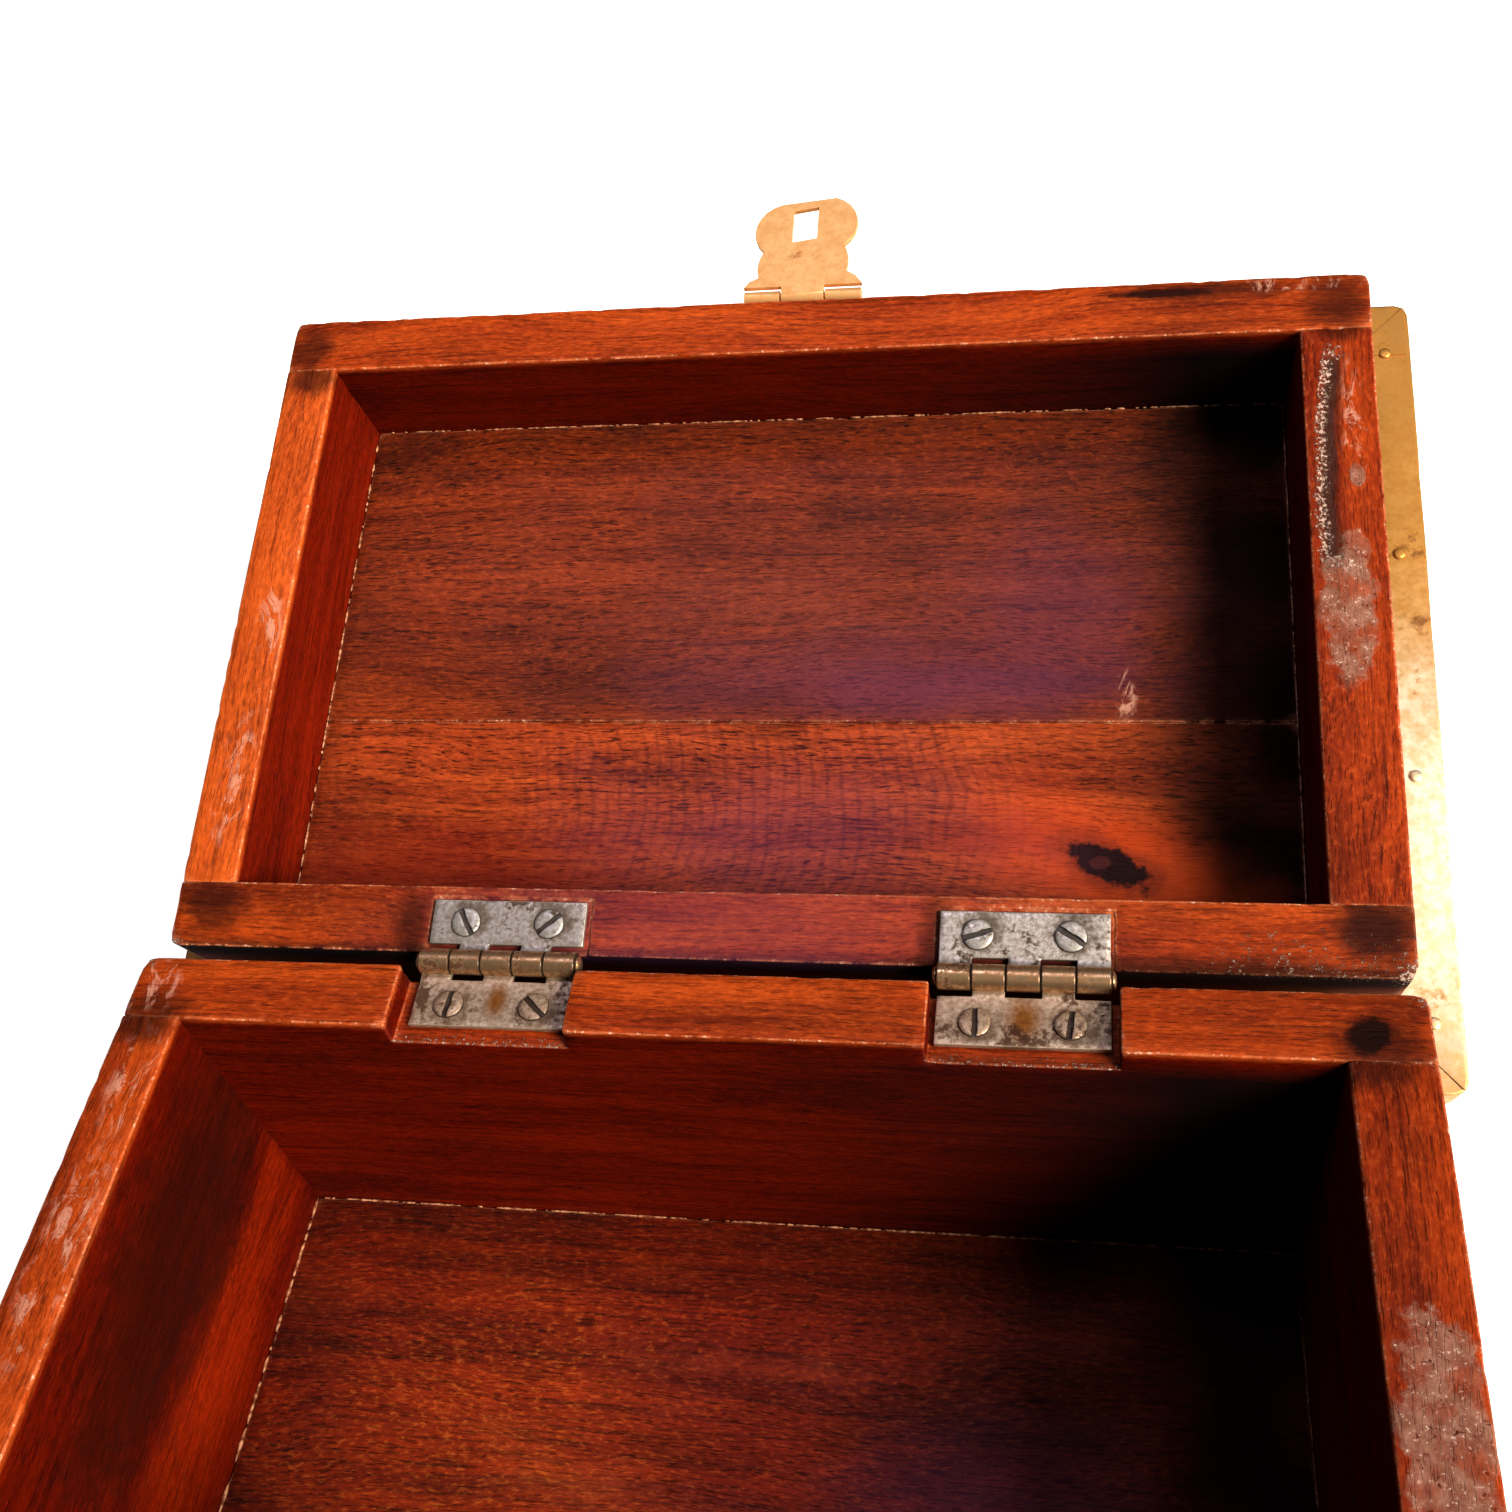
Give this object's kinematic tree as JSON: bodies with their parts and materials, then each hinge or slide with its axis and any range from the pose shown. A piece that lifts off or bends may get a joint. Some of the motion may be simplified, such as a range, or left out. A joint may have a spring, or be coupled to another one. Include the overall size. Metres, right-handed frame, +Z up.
{
  "type": "tea caddy",
  "caption": "Hinged wooden tea caddy, shown open, with an overhanging brass-clad lid, butt hinges let into the back board and a scalloped brass hasp.",
  "frame": {"origin": "centre of the bottom face, on the surface the caddy stands on", "axes": "+X to the right along the long side, +Y to the hinge side, +Z up; the lid stands open behind the base"},
  "size_m": [0.2174, 0.2767, 0.1178],
  "materials": {
    "wood": "worn red-brown stain, satin",
    "panel_wood": "dark red-brown stain, satin",
    "brass_sheet": "hand-worked, aged",
    "hinge_metal": "tarnished grey-brown brass",
    "screw_metal": "worn steel"
  },
  "bodies": {
    "base": {"base_back_board": "wood", "base_bottom_board": "wood", "base_floor_panel": "panel_wood", "base_front_board": "wood", "base_left_board": "wood", "base_right_board": "wood", "bottom_screw_back_left": "screw_metal", "bottom_screw_back_right": "screw_metal", "bottom_screw_front_left": "screw_metal", "bottom_screw_front_right": "screw_metal", "hinge_left_base_leaf": "hinge_metal", "hinge_left_base_screw_a": "screw_metal", "hinge_left_base_screw_b": "screw_metal", "hinge_left_pin": "hinge_metal", "hinge_right_base_leaf": "hinge_metal", "hinge_right_base_screw_a": "screw_metal", "hinge_right_base_screw_b": "screw_metal", "hinge_right_pin": "hinge_metal", "staple_loop": "brass_sheet", "staple_plate": "brass_sheet"},
    "lid": {"cover_nail_01": "brass_sheet", "cover_nail_02": "brass_sheet", "cover_nail_03": "brass_sheet", "cover_nail_04": "brass_sheet", "cover_nail_05": "brass_sheet", "cover_nail_06": "brass_sheet", "cover_nail_07": "brass_sheet", "cover_nail_08": "brass_sheet", "cover_nail_09": "brass_sheet", "cover_nail_10": "brass_sheet", "cover_nail_11": "brass_sheet", "cover_nail_12": "brass_sheet", "cover_nail_13": "brass_sheet", "cover_nail_14": "brass_sheet", "cover_nail_15": "brass_sheet", "cover_nail_16": "brass_sheet", "hasp_nail_left": "brass_sheet", "hasp_nail_right": "brass_sheet", "hasp_pin": "brass_sheet", "hasp_plate": "brass_sheet", "hinge_left_lid_leaf": "hinge_metal", "hinge_left_lid_screw_a": "screw_metal", "hinge_left_lid_screw_b": "screw_metal", "hinge_right_lid_leaf": "hinge_metal", "hinge_right_lid_screw_a": "screw_metal", "hinge_right_lid_screw_b": "screw_metal", "lid_back_board": "wood", "lid_brass_cover": "brass_sheet", "lid_front_board": "wood", "lid_left_board": "wood", "lid_panel_front": "panel_wood", "lid_panel_rear": "panel_wood", "lid_right_board": "wood", "lid_top_board": "wood"},
    "hasp": {"hasp_leaf": "brass_sheet"}
  },
  "joints": [
    {"name": "lid_hinge", "type": "hinge", "parent": "base", "child": "lid", "pos_m": [0, 0.0634, 0.074], "axis": [1, 0, 0], "range_deg": [0, 161.5]},
    {"name": "hasp_hinge", "type": "hinge", "parent": "lid", "child": "hasp", "pos_m": [0, 0.18463, 0.10987], "axis": [1, 0, 0], "range_deg": [-85, 85]}
  ]
}
